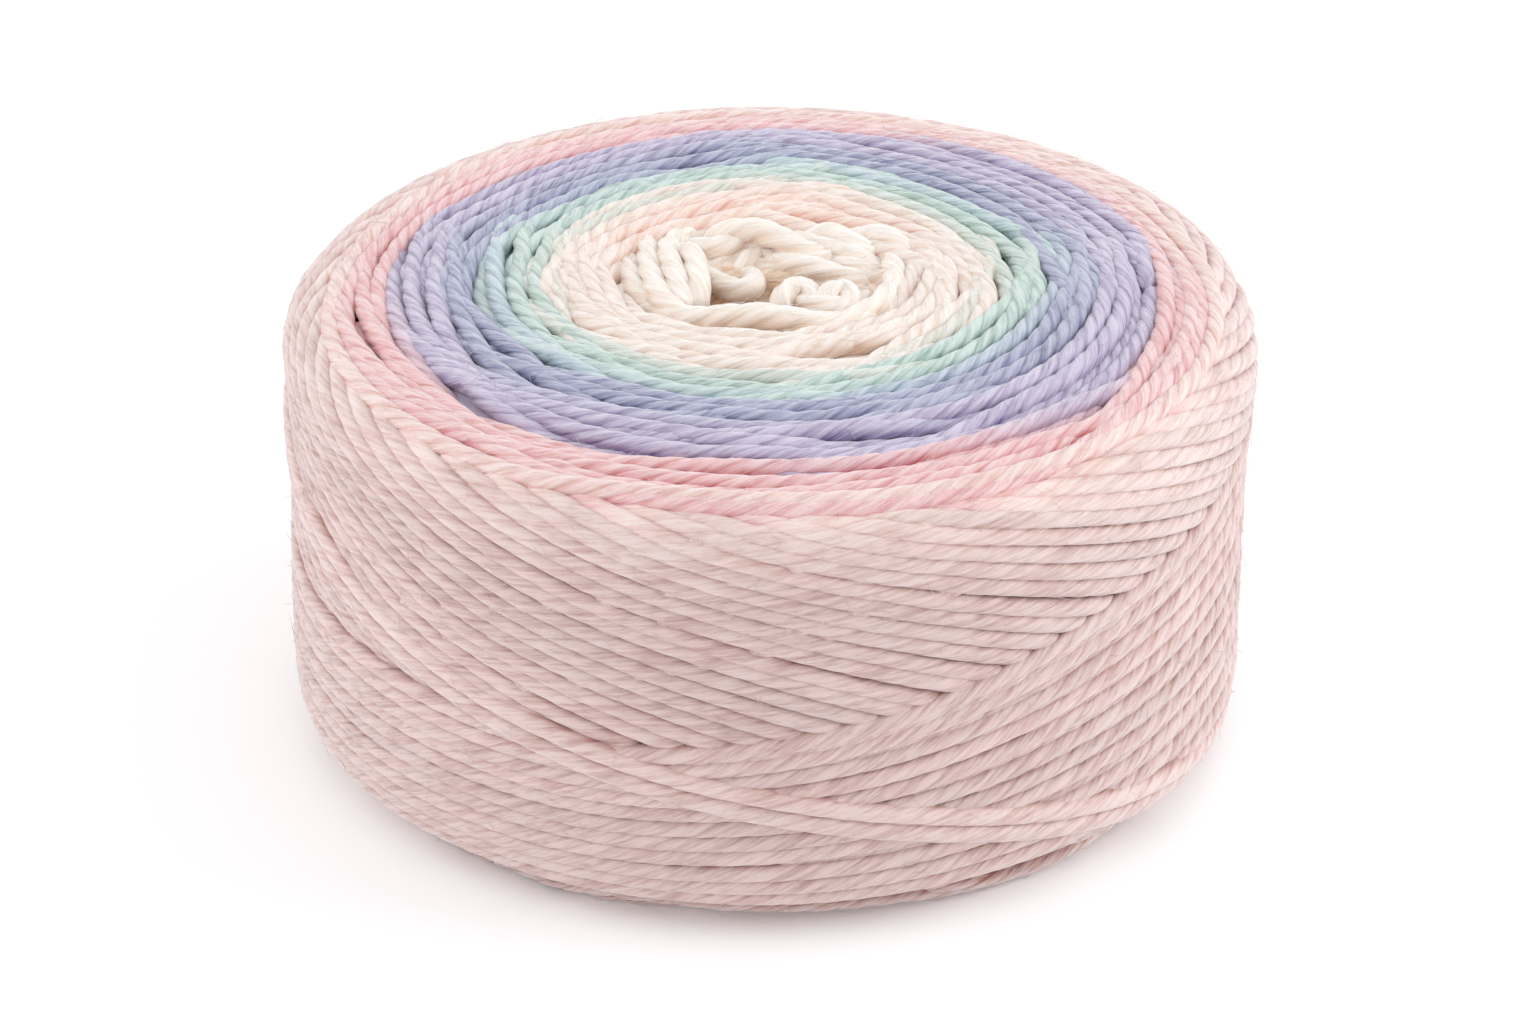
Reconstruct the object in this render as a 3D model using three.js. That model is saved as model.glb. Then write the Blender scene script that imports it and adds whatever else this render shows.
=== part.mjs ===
// A cake of plied yarn: one continuous strand wound on itself into a low drum.
// Millimetres, +Z up. The origin is the centre of the flat base that the cake rests on, and -Y is its front.
import * as THREE from "three";

// Outside size of the wound drum
const DRUM_RADIUS = 75.1;
const SHOULDER_HEIGHT = 72.1;
const CROWN_RISE = 1.9;
const CROWN_RADIUS = 46;
const RIM_ROUND = 8.8;
const BASE_ROUND = 10.2;

// The well where the turns around the emptied core have slumped inwards
const WELL_DEPTH = 13;
const WELL_FLOOR_RADIUS = 4.2;
const WELL_LIP_RADIUS = 15;
const WELL_CENTRE = new THREE.Vector2(-2.2, -5);
const WELL_STRETCH = 1.3;
const WELL_REACH = 34;

// The turns, raised as ridges that lean across the outline as the strand travels up and down
const TURN_PITCH = 3.2;
const TURN_RELIEF = 1.5;
const SIDE_LEAN = 10;
const TOP_LEAN = 2.6;
const LEAN_START = -0.9;
const LEAN_SHARPNESS = 0.94;
const LOBE_RISE = 0.8;
const LOBE_COUNT = 3;
const LOBE_START = 0.6;

const COLUMNS = 40;
const YARN_COLOUR = 0xe3d0ca;
const YARN_ROUGHNESS = 0.9;

const TAU = 2 * Math.PI;
const CROWN_HEIGHT = SHOULDER_HEIGHT + CROWN_RISE;

// Half of the drum's section, from the floor of the well, over the crown and down to the edge of the base
function drumOutline() {
  const rimCentre = DRUM_RADIUS - RIM_ROUND;
  const baseEdge = DRUM_RADIUS - BASE_ROUND;
  const floorHeight = CROWN_HEIGHT - WELL_DEPTH;
  const outline = new THREE.Path();
  outline.moveTo(WELL_FLOOR_RADIUS, floorHeight);
  outline.bezierCurveTo(
    1.7 * WELL_FLOOR_RADIUS, floorHeight + 0.3 * WELL_DEPTH,
    0.45 * WELL_LIP_RADIUS, CROWN_HEIGHT,
    WELL_LIP_RADIUS, CROWN_HEIGHT,
  );
  outline.lineTo(CROWN_RADIUS, CROWN_HEIGHT);
  outline.bezierCurveTo(
    0.5 * (CROWN_RADIUS + rimCentre), CROWN_HEIGHT,
    0.5 * (CROWN_RADIUS + rimCentre), SHOULDER_HEIGHT,
    rimCentre, SHOULDER_HEIGHT,
  );
  outline.absarc(rimCentre, SHOULDER_HEIGHT - RIM_ROUND, RIM_ROUND, 0.5 * Math.PI, 0, true);
  outline.lineTo(DRUM_RADIUS, BASE_ROUND);
  outline.absarc(baseEdge, BASE_ROUND, BASE_ROUND, 0, -0.5 * Math.PI, true);
  return outline;
}

// How far the turns lean at a place along the outline: nothing in the well and at the base, most on the side
function leanAt(along, length) {
  const sideMiddle = length - 0.5 * SHOULDER_HEIGHT - 0.5 * BASE_ROUND;
  const topLean = TOP_LEAN * THREE.MathUtils.smoothstep(along, WELL_REACH / 2, WELL_REACH);
  const sideLean = (SIDE_LEAN - TOP_LEAN) * THREE.MathUtils.smoothstep(along, sideMiddle - 48, sideMiddle);
  const baseFade = 1 - THREE.MathUtils.smoothstep(along, sideMiddle + 6, length);
  return (topLean + sideLean) * baseFade;
}

// A rounded zigzag, once up and once down in a round of the drum
function travel(angle) {
  return Math.asin(LEAN_SHARPNESS * Math.sin(angle - LEAN_START)) / Math.asin(LEAN_SHARPNESS);
}

// A point of the drum's skin, with the well and the turns near it drawn off centre and into low lobes
function skinPoint(radius, height, angle) {
  const inner = 1 - THREE.MathUtils.smoothstep(radius, 0.3 * WELL_REACH, WELL_REACH);
  const stretch = 1 + (WELL_STRETCH - 1) * inner;
  const lobe = LOBE_RISE * Math.sin(LOBE_COUNT * angle + LOBE_START) * inner;
  return [
    radius * stretch * Math.cos(angle) + WELL_CENTRE.x * inner,
    radius * Math.sin(angle) + WELL_CENTRE.y * inner,
    height + lobe,
  ];
}

// The closed skin: a fan on the well's floor, rows of crests and grooves down the outline, a fan on the base
function woundSkin() {
  const outline = drumOutline();
  const length = outline.getLength();
  const rowCount = 2 * Math.round(length / TURN_PITCH);
  const points = [skinPoint(0, CROWN_HEIGHT - WELL_DEPTH, 0)];
  for (let row = 0; row <= rowCount; row += 1) {
    const isEdge = row === 0 || row === rowCount;
    const inset = row % 2 === 1 ? TURN_RELIEF : 0;
    const along = (length * row) / rowCount;
    for (let column = 0; column < COLUMNS; column += 1) {
      const angle = (TAU * column) / COLUMNS;
      const leant = isEdge ? along : along + leanAt(along, length) * travel(angle);
      const place = outline.getPoint(leant / length);
      const heading = outline.getTangent(leant / length);
      const radius = place.x + inset * heading.y;
      const height = place.y - inset * heading.x;
      points.push(skinPoint(radius, isEdge ? place.y : Math.max(height, 0), angle));
    }
  }
  points.push([0, 0, 0]);

  const faces = [];
  const vertex = (row, column) => 1 + row * COLUMNS + (column % COLUMNS);
  for (let column = 0; column < COLUMNS; column += 1) {
    faces.push(0, vertex(0, column), vertex(0, column + 1));
    for (let row = 0; row < rowCount; row += 1) {
      const [a, b] = [vertex(row, column), vertex(row, column + 1)];
      const [c, d] = [vertex(row + 1, column), vertex(row + 1, column + 1)];
      faces.push(a, c, d, a, d, b);
    }
    faces.push(points.length - 1, vertex(rowCount, column + 1), vertex(rowCount, column));
  }

  const skin = new THREE.BufferGeometry();
  skin.setAttribute("position", new THREE.Float32BufferAttribute(points.flat(), 3));
  skin.setIndex(faces);
  skin.computeVertexNormals();
  return skin;
}

function yarnCake() {
  const yarn = new THREE.MeshStandardMaterial({
    color: YARN_COLOUR,
    roughness: YARN_ROUGHNESS,
    metalness: 0,
    flatShading: true,
  });
  const cake = new THREE.Mesh(woundSkin(), yarn);
  cake.name = "yarn_cake";
  return cake;
}

const part = new THREE.Group();
part.add(yarnCake());

export default part;
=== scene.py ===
import math

import bpy
import numpy as np
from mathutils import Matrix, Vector


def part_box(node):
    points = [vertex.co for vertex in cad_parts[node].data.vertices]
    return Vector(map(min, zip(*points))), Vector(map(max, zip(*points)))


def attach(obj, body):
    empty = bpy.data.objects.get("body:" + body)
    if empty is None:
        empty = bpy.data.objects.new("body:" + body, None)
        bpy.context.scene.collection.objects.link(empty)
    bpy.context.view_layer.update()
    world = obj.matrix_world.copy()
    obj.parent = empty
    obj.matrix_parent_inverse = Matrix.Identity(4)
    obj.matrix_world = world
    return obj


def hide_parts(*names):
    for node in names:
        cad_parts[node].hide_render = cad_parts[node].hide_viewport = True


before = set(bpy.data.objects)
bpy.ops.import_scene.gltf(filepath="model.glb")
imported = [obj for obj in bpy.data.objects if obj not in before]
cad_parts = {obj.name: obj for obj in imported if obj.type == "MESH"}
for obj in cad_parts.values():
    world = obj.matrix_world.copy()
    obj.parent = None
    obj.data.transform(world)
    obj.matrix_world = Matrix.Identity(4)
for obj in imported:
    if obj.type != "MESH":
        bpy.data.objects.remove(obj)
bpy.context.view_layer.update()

# A cake of plied yarn. Its strand is laid turn by turn on a drum, each turn resting on the ones before it,
# and what shows is built as tubes of twisted plies. Lengths are in millimetres until a mesh is made. A place
# on the drum is an angle and a distance along its outline, from the well over the top and side to the base.

MM = 0.001
TAU = 2.0 * math.pi
rng = np.random.default_rng(11)

# Drum. Its width is the frame's, and its crown is a little lower, because some turns lie over it.
low, high = (np.array(corner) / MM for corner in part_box("yarn_cake"))
DRUM_RADIUS = 0.5 * (high[0] - low[0])
CROWN_HEIGHT = 73.4
CROWN_RISE = 1.9
CROWN_RADIUS = 46.0
RIM_ROUND = 8.8
BASE_ROUND = 10.2
SHOULDER_HEIGHT = CROWN_HEIGHT - CROWN_RISE

# Well in the middle, with its mouth drawn off centre
WELL_DEPTH = 13.0
WELL_FLOOR_RADIUS = 4.2
WELL_LIP_RADIUS = 15.0
WELL_CENTRE = (-2.2, -5.0)
WELL_STRETCH = 1.3
WELL_REACH = 34.0
WELL_INNER_PART = 0.3
WELL_PULL = 3

# Handles of the curve from the well's floor to its lip, as parts of the radii and the depth
FLOOR_HANDLE_OUT = 1.7
FLOOR_HANDLE_UP = 0.3
LIP_HANDLE_IN = 0.45

# Outline: its sampling, its end near the axis, and the smoothing of its heading
OUTLINE_STEP = 0.25
OUTLINE_END_RADIUS = 1.0
HEADING_SMOOTHING = 3

# The wound side stands out at the right of the rim, and in at the left of the side
RIM_SWELL = 1.1
RIM_SWELL_REACH = 10.0
RIM_SWELL_BELOW = 1.0
SIDE_HOLLOW = 0.8
SIDE_HOLLOW_HEIGHT = 48.0
SIDE_HOLLOW_REACH = 16.0
UNEVEN_SPREAD = 0.35

# Yarn
YARN_RADIUS = 1.36
PLY_COUNT = 4
TWIST_LENGTH = 19.0
PLY_DEPTH = 0.06
OPEN_PLY_DEPTH = 0.11

# Least height of a strand's middle
FLOOR_CLEARANCE = 1.7

# Photograph's view
VIEW_DISTANCE = 800.0
VIEW_ELEVATION = math.radians(28.063)
VIEW_SIDE = 0.198
VIEW_AIM_HEIGHT = 31.757
VIEW_LENS = 118.55
SENSOR_WIDTH = 36.0
VIEW_NEAREST = 10.0


def camera():
    data = bpy.data.cameras.new("camera")
    data.lens = VIEW_LENS
    data.sensor_width = SENSOR_WIDTH
    data.clip_start = VIEW_NEAREST * MM
    view = bpy.data.objects.new("camera", data)
    view.location = (
        VIEW_SIDE * MM,
        -VIEW_DISTANCE * math.cos(VIEW_ELEVATION) * MM,
        (VIEW_AIM_HEIGHT + VIEW_DISTANCE * math.sin(VIEW_ELEVATION)) * MM,
    )
    view.rotation_euler = (0.5 * math.pi - VIEW_ELEVATION, 0.0, 0.0)
    bpy.context.scene.collection.objects.link(view)
    bpy.context.scene.camera = view


camera()


def srgb(red, green, blue):
    """A colour given as 0 to 255 on the screen, in linear light."""
    shown = np.array([red, green, blue]) / 255.0
    return np.where(shown <= 0.04045, shown / 12.92, ((shown + 0.055) / 1.055) ** 2.4)


def smooth(values, width):
    """Values averaged with their neighbours over the given width in samples."""
    reach = max(1, int(3 * width))
    weights = np.exp(-0.5 * (np.arange(-reach, reach + 1) / width) ** 2)
    padded = np.pad(values, reach, mode="edge")
    return np.convolve(padded, weights / weights.sum(), mode="valid")


def between(before, left, right, after, part):
    """A smooth path from left to right, with the points before and after them giving its slopes."""
    return left + 0.5 * part * (
        right - before
        + part * (2 * before - 5 * left + 4 * right - after + part * (3 * (left - right) + after - before))
    )


def wander(count, spacing, size):
    """A slow random drift, one value a sample, with its bends about spacing samples apart."""
    knots = rng.normal(0.0, size, int(count / spacing) + 4)
    places = np.arange(count) / spacing + 1.0
    base = places.astype(int)
    part = places - base
    return between(*(knots[base + shift] for shift in (-1, 0, 1, 2)), part)


def ramp(value, start, end):
    part = np.clip((value - start) / (end - start), 0.0, 1.0)
    return part * part * (3.0 - 2.0 * part)


def stacked(*parts):
    return np.stack(parts, axis=-1)


def joined(*parts):
    return np.concatenate(parts)


def length_along(points):
    """The distance of each point of a path from its start."""
    return joined([0.0], np.cumsum(np.linalg.norm(np.diff(points, axis=0), axis=1)))


def sampled(at, places, rows):
    """Rows of three numbers that are known at places along a line, read off at other places."""
    return np.stack([np.interp(at, places, rows[:, column]) for column in range(3)], axis=-1)


# Outline

def bezier(start, pull_a, pull_b, end, count=60):
    t = np.linspace(0.0, 1.0, count)[:, None]
    start, pull_a, pull_b, end = (np.array(point) for point in (start, pull_a, pull_b, end))
    return (1 - t) ** 3 * start + 3 * (1 - t) ** 2 * t * pull_a + 3 * (1 - t) * t * t * pull_b + t ** 3 * end


def arc(centre_radius, centre_height, size, start_degrees, end_degrees, count=60):
    angle = np.radians(np.linspace(start_degrees, end_degrees, count))
    return np.stack([centre_radius + size * np.cos(angle), centre_height + size * np.sin(angle)], axis=1)


def drum_outline():
    """Radius and height along half of the drum's section."""
    rim = DRUM_RADIUS - RIM_ROUND
    foot = DRUM_RADIUS - BASE_ROUND
    floor = CROWN_HEIGHT - WELL_DEPTH
    middle = 0.5 * (CROWN_RADIUS + rim)
    pieces = [
        bezier((WELL_FLOOR_RADIUS, floor),
               (FLOOR_HANDLE_OUT * WELL_FLOOR_RADIUS, floor + FLOOR_HANDLE_UP * WELL_DEPTH),
               (LIP_HANDLE_IN * WELL_LIP_RADIUS, CROWN_HEIGHT), (WELL_LIP_RADIUS, CROWN_HEIGHT)),
        bezier((CROWN_RADIUS, CROWN_HEIGHT), (middle, CROWN_HEIGHT), (middle, SHOULDER_HEIGHT),
               (rim, SHOULDER_HEIGHT)),
        arc(rim, SHOULDER_HEIGHT - RIM_ROUND, RIM_ROUND, 90, 0),
        arc(foot, BASE_ROUND, BASE_ROUND, 0, -90),
        np.array([[OUTLINE_END_RADIUS, 0.0]]),
    ]
    points = np.concatenate(pieces)
    steps = np.hypot(*np.diff(points, axis=0).T)
    points = points[joined([True], steps > 1e-6)]
    distance = joined([0.0], np.cumsum(np.hypot(*np.diff(points, axis=0).T)))
    even = np.arange(0.0, distance[-1], OUTLINE_STEP)
    return even, np.interp(even, distance, points[:, 0]), np.interp(even, distance, points[:, 1])


OUTLINE, OUTLINE_RADIUS, OUTLINE_HEIGHT = drum_outline()
OUTLINE_LENGTH = OUTLINE[-1]
outline_heading = np.stack([smooth(np.gradient(values), HEADING_SMOOTHING)
                            for values in (OUTLINE_RADIUS, OUTLINE_HEIGHT)])
outline_heading = outline_heading / np.hypot(*outline_heading)
OUT_RADIUS = -outline_heading[1]
OUT_HEIGHT = outline_heading[0]


def skin_radius(along):
    return np.interp(along, OUTLINE, OUTLINE_RADIUS)


def along_at(radius):
    """Where the top has a radius, as a distance along the outline."""
    top = OUTLINE_HEIGHT > SHOULDER_HEIGHT - RIM_ROUND
    return np.interp(radius, OUTLINE_RADIUS[top], OUTLINE[top])


TOP_END = along_at(DRUM_RADIUS - RIM_ROUND)
SIDE_START = TOP_END + 0.5 * math.pi * RIM_ROUND
SIDE_END = SIDE_START + SHOULDER_HEIGHT - RIM_ROUND - BASE_ROUND
BASE_START = SIDE_END + 0.5 * math.pi * BASE_ROUND


def along_side(height):
    """Where the side has a height, as a distance along the outline."""
    return SIDE_START + (SHOULDER_HEIGHT - RIM_ROUND) - height


def bell(value, middle, width):
    return np.exp(-((value - middle) / width) ** 2)


def unevenness(angle, along):
    """How far the wound side stands out from a true drum."""
    hollow = along_side(SIDE_HOLLOW_HEIGHT)
    swell = SIDE_START + RIM_SWELL_BELOW
    right = bell(np.cos(angle), 1.0, UNEVEN_SPREAD) * bell(along, swell, RIM_SWELL_REACH)
    left = bell(np.cos(angle), -1.0, UNEVEN_SPREAD) * bell(along, hollow, SIDE_HOLLOW_REACH)
    return RIM_SWELL * right - SIDE_HOLLOW * left


def on_drum(angle, along, lift):
    """Points of space at places on the drum, lifted off its skin."""
    lift = lift + unevenness(angle, along)
    radius = skin_radius(along) + lift * np.interp(along, OUTLINE, OUT_RADIUS)
    height = np.interp(along, OUTLINE, OUTLINE_HEIGHT) + lift * np.interp(along, OUTLINE, OUT_HEIGHT)
    on_top = height > 0.5 * CROWN_HEIGHT
    inner = (1.0 - ramp(radius, WELL_INNER_PART * WELL_REACH, WELL_REACH)) * on_top
    x = radius * (1.0 + (WELL_STRETCH - 1.0) * inner) * np.cos(angle) + WELL_CENTRE[0] * inner ** WELL_PULL
    y = radius * np.sin(angle) + WELL_CENTRE[1] * inner ** WELL_PULL
    return stacked(x, y, np.maximum(height, FLOOR_CLEARANCE))


# Laying the strand. A field over the drum's skin keeps how high the turns laid so far reach.

# Cells of the field round the drum, and the length of one along the outline
COLUMNS = 1440
CELL = 0.3
ANGLE_STEP = TAU / COLUMNS

# Angles of the drum's right, left and back
RIGHT = 0.0
LEFT = -math.pi
BACK = -1.5 * math.pi

# Where a strand raises the field and rests on it, in radii, and how much of its height it keeps
OFFSETS = np.linspace(-0.95, 0.95, 11)
BEARING = np.linspace(-0.5, 0.5, 5)
CONTACT = 0.80

# How far a strand may slide to a lower place, its cost, and how sharply and smoothly it chooses
SLIDES = np.linspace(-1.4, 1.4, 9)
SLIDE_COST = 0.22
SLIDE_CHOICE = 0.10
SLIDE_SMOOTHING = 5.0

# Level of the turns that show, and the part of a climb over it that stays when they are pressed back
SINKING = 0.6
SETTLED = -YARN_RADIUS - SINKING
YIELD = 0.3

# Depths of the bed: all round, and further under the fan, the rim's turns and the slack loops
LAYER = 2 * CONTACT * YARN_RADIUS
BED_DEPTH = 1.6 * LAYER + SINKING
UNDER_FAN_DEPTH = 1.5 * LAYER
UNDER_RIM_DEPTH = 0.7 * LAYER
SLACK_DEPTH = 3.8
SLACK_RADII = (17.0, 21.0)
RIM_START = along_at(60.5)

# Where these depths fade in and out, from the start and the end of the turns over them
FAN_TOP_FADE = (-4.0, 3.0)
FAN_FOOT_FADE = (0.0, 6.0)
RIM_INNER_FADE = (-5.0, 2.0)
RIM_OUTER_FADE = (-1.5, 3.0)

# Steps of a strand that are laid at a time, and the millimetres looked at before and after them
CHUNK = COLUMNS // 2
LOOK_AROUND = 14.0
SMALLEST_TURN_RADIUS = 2.0

# How a taut strand spans hollows: its step, the steps looked at both ways, its sag and smoothing
SPAN_STEP = 0.8
SPAN_SAMPLES = 12
SPAN_SAG = 0.011
SPAN_SMOOTHING = 1.6

# Last turns over the side: a fan that rises from the left to the rim at the right, given by the heights of
# its highest and lowest turns at degrees round the drum, 0 at the front
FAN_ANGLES = (-180, -135, -90, -45, -20, 10, 42, 70, 100, 135)
FAN_HIGHEST = (60.0, 46.0, 34.0, 31.0, 30.5, 36.0, 45.0, 51.0, 58.0, 64.0)
FAN_LOWEST = (7.0, 5.5, 5.0, 4.5, 4.5, 4.5, 5.5, 7.0, 8.0, 8.0)
FAN_TURNS = 11
FAN_SIZE = 1.43


def ring_curve(angles, values, at):
    """A smooth closed curve through values given at angles in degrees, 0 at the front."""
    angles = np.array(angles)
    knots = joined(angles - 360.0, angles, angles + 360.0)
    heights = np.tile(np.array(values), 3)
    slopes = np.gradient(heights, knots)
    at = (at + 180.0) % 360.0 - 180.0
    index = np.clip(np.searchsorted(knots, at, side="right") - 1, 0, len(knots) - 2)
    width = knots[index + 1] - knots[index]
    t = (at - knots[index]) / width
    return ((2 * t ** 3 - 3 * t ** 2 + 1) * heights[index] + (t ** 3 - 2 * t ** 2 + t) * width * slopes[index]
            + (3 * t ** 2 - 2 * t ** 3) * heights[index + 1] + (t ** 3 - t ** 2) * width * slopes[index + 1])


# Radius on the top at which the rim's turns end
RIM_ANGLES = (-180, -150, -120, -90, -60, -30, 0, 30, 60, 90, 120, 150)
RIM_RADII = (66.0, 66.3, 66.8, 67.8, 69.4, 71.0, 72.0, 72.2, 71.4, 69.0, 66.8, 66.0)


def rim_edge(degrees):
    """Where the rim's turns end, as a distance along the outline."""
    return along_at(ring_curve(RIM_ANGLES, RIM_RADII, degrees))


def past(rows, place, fade):
    return ramp(rows, place + fade[0], place + fade[1])


def bed():
    """The drum's skin before the turns that show are laid on it."""
    rows = np.arange(int(OUTLINE_LENGTH / CELL) + 2) * CELL
    degrees = np.arange(COLUMNS) * 360.0 / COLUMNS + 90.0
    fan_start = along_side(ring_curve(FAN_ANGLES, FAN_HIGHEST, degrees))[:, None]
    fan_end = along_side(ring_curve(FAN_ANGLES, FAN_LOWEST, degrees))[:, None]
    under_fan = past(rows, fan_start, FAN_TOP_FADE) * (1.0 - past(rows, fan_end, FAN_FOOT_FADE))
    edge = rim_edge(degrees)[:, None]
    under_rim = past(rows, RIM_START, RIM_INNER_FADE) * (1.0 - past(rows, edge, RIM_OUTER_FADE))
    slack = 1.0 - ramp(rows, *(along_at(radius) for radius in SLACK_RADII))
    return -BED_DEPTH - UNDER_FAN_DEPTH * under_fan - UNDER_RIM_DEPTH * under_rim - SLACK_DEPTH * slack


field = bed()
first_bed = field.copy()


class Strand:
    """A stretch of yarn: a place and a lift at every step of its angle."""

    def __init__(self, name, start, along, size, slides=False, sunk=1.0, ply_depth=PLY_DEPTH):
        self.name = name
        self.first = int(round(start / ANGLE_STEP))
        self.along = np.array(along, dtype=float)
        self.lift = np.zeros(len(along))
        self.size = size
        self.slides = slides
        self.sunk = sunk
        self.ply_depth = ply_depth

    @property
    def angle(self):
        return (self.first + np.arange(len(self.along))) * ANGLE_STEP


def field_cells(columns, along, offset):
    """The field's cells under a line that runs beside a strand."""
    step = skin_radius(along) * ANGLE_STEP
    rise = np.gradient(along)
    length = np.hypot(step, rise)
    column = np.round(columns + offset * (-rise / length / step)).astype(int) % COLUMNS
    row = np.round(along / CELL + offset * (step / length / CELL)).astype(int)
    return column, np.clip(row, 0, field.shape[1] - 1)


def dome(part, size):
    """How high a strand's skin lies over its middle, a part of its radius to the side."""
    return CONTACT * size * math.sqrt(1.0 - part * part)


def resting(columns, along, size, sunk):
    """How high a strand's middle lies to clear what is under it, once it is pressed back to its level."""
    level = SETTLED + sunk * (first_bed[field_cells(columns, along, 0.0)] + BED_DEPTH)
    lift = np.full(len(along), -BED_DEPTH - SLACK_DEPTH)
    for part in BEARING:
        lift = np.maximum(lift, field[field_cells(columns, along, part * size)] + dome(part, size))
    return np.where(lift > level, level + YIELD * (lift - level), lift)


def press(strand, start, end):
    """Raise the field to the top of the part of a strand that has just been laid."""
    columns = strand.first + np.arange(start, end)
    for part in OFFSETS:
        cells = field_cells(columns, strand.along[start:end], part * strand.size)
        np.maximum.at(field, cells, strand.lift[start:end] + dome(part, strand.size))


def bridge(lift, step):
    """The lift of a taut strand over a bed: it follows the bed's bumps and spans its hollows."""
    bins = max(1, int(round(SPAN_STEP / step)))
    count = -(-len(lift) // bins)
    padded = np.pad(lift, (0, count * bins - len(lift)), mode="edge")
    coarse = padded.reshape(count, bins).max(axis=1)
    reach = SPAN_SAMPLES
    edge = np.pad(coarse, reach, mode="edge")
    spans = []
    for shift in range(-reach, reach + 1):
        spans.append(edge[reach + shift:reach + shift + count] - SPAN_SAG * (shift * SPAN_STEP) ** 2)
    taut = smooth(np.max(spans, axis=0), SPAN_SMOOTHING)
    centres = (np.arange(count) + 0.5) * bins - 0.5
    return np.interp(np.arange(len(lift)), centres, taut)


def lay(strand):
    total = len(strand.along)
    slid = np.zeros(total)
    for start in range(0, total, CHUNK):
        end = min(start + CHUNK, total)
        step = max(skin_radius(strand.along[start]), SMALLEST_TURN_RADIUS) * ANGLE_STEP
        pad = int(LOOK_AROUND / step)
        ahead = min(end + pad, total)
        behind = max(start - pad, 0)
        columns = strand.first + np.arange(start, ahead)
        look = strand.along[start:ahead]
        if strand.slides:
            tries = [resting(columns, look + slide, strand.size, strand.sunk) for slide in SLIDES]
            cost = np.array(tries) + SLIDE_COST * SLIDES[:, None] ** 2
            weight = np.exp(-(cost - cost.min(axis=0)) / SLIDE_CHOICE)
            wanted = (weight * SLIDES[:, None]).sum(axis=0) / weight.sum(axis=0)
            slides = smooth(joined(slid[behind:start], wanted), SLIDE_SMOOTHING / step)
            slid[start:ahead] = slides[start - behind:]
            strand.along[start:end] += slid[start:end]
            look = strand.along[start:ahead] + np.where(np.arange(start, ahead) < end, 0.0, slid[start:ahead])
        rest = resting(columns, look, strand.size, strand.sunk)
        taut = bridge(joined(strand.lift[behind:start], rest), step)
        strand.lift[start:end] = taut[start - behind:end - behind]
        press(strand, start, end)


# Dyes of the runs, from the inside of the cake to its outside
DYES = {
    # tan is painted shade for the well's depths, not a run of the yarn
    "tan": srgb(240, 216, 188),
    "milk": srgb(250, 241, 233),
    "cream": srgb(243, 230, 221),
    "peach": srgb(246, 213, 200),
    "pale_mint": srgb(221, 223, 214),
    "mint": srgb(194, 213, 206),
    "teal": srgb(189, 208, 215),
    "periwinkle": srgb(160, 163, 196),
    "lavender": srgb(196, 183, 211),
    "salmon": srgb(238, 194, 195),
    "blush": srgb(240, 216, 208),
    "ivory": srgb(227, 199, 193),
    "dusty_pink": srgb(213, 181, 175),
}
# Radius on the top, in millimetres, at which each run has its full colour
DYE_RUNS = [
    (0.0, "cream"), (33.0, "cream"), (35.6, "pale_mint"), (37.6, "mint"), (41.0, "mint"), (43.4, "teal"),
    (45.2, "periwinkle"), (49.6, "periwinkle"), (52.8, "lavender"), (58.9, "lavender"), (59.9, "salmon"),
    (70.0, "salmon"), (72.5, "blush"), (75.0, "ivory"), (83.0, "dusty_pink"),
]
# The same, by the distance below the tops of the side's loops
SIDE_RUNS = [
    (0.0, "salmon"), (3.0, "salmon"), (6.0, "blush"), (8.0, "ivory"), (11.0, "ivory"), (20.0, "dusty_pink"),
]

# How much further out the lavender ends round the drum, and the radii between which this sets in
DRIFT_ANGLES = (-180, -150, -90, -45, -20, 0, 25, 50, 75, 120, 150)
DRIFT = (0.7, 0.2, 0.2, 0.0, 1.4, 2.4, 2.6, 3.4, 2.2, 3.2, 2.6)
DRIFT_RADII = (52.0, 58.0)

# Peach in the cream at the back: its share, radius, reach, heading in radians and narrowness
PEACH = (0.75, 27.0, 5.0, 0.2, 3)

# Painted shade in tan over the strands down in the well ends between these radii
WELL_SHADE_RADII = (11.0, 18.0)

# Slow changes of a dye's strength are this many turns apart
SHADE_TURNS = 0.7


def bends(count, apart, size):
    return wander(count, apart * COLUMNS, size)


def dyed(at, runs):
    """The dye at places, from a table of places and the names of their dyes."""
    return sampled(at, [place for place, _ in runs], np.array([DYES[name] for _, name in runs]))


def uneven(count, size):
    return (1.0 + bends(count, SHADE_TURNS, size))[:, None]


# Spirals step in and out at crossings, so that turns swap places in pairs. The crossings' scatter and width
# are in turns, and their reach in pitches. Bends are turns apart and size, here and below.
TOP_CROSSINGS = (-77, 4, 92, 166, 215)
CROSSING_SCATTER = 0.03
CROSSING_WIDTH = 0.11
CROSSING_REACH = 1.15
SPIRAL_BENDS = (0.11, 0.25)


def crossing_side(turns, crossings):
    """+1 or -1 along a spiral, with a soft change of sign at each crossing."""
    first = math.floor(turns[0]) - 1
    last = math.ceil(turns[-1]) + 1
    places = np.array([turn + angle / 360.0 for turn in range(first, last) for angle in crossings])
    places = np.sort(places + rng.normal(0.0, CROSSING_SCATTER, len(places)))
    keys = np.stack([places - 0.5 * CROSSING_WIDTH, places + 0.5 * CROSSING_WIDTH], axis=1).ravel()
    counts = np.stack([np.arange(len(places)), np.arange(1, len(places) + 1)], axis=1).ravel()
    order = np.argsort(keys, kind="stable")
    return np.cos(math.pi * np.interp(turns, keys[order], counts))


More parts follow.
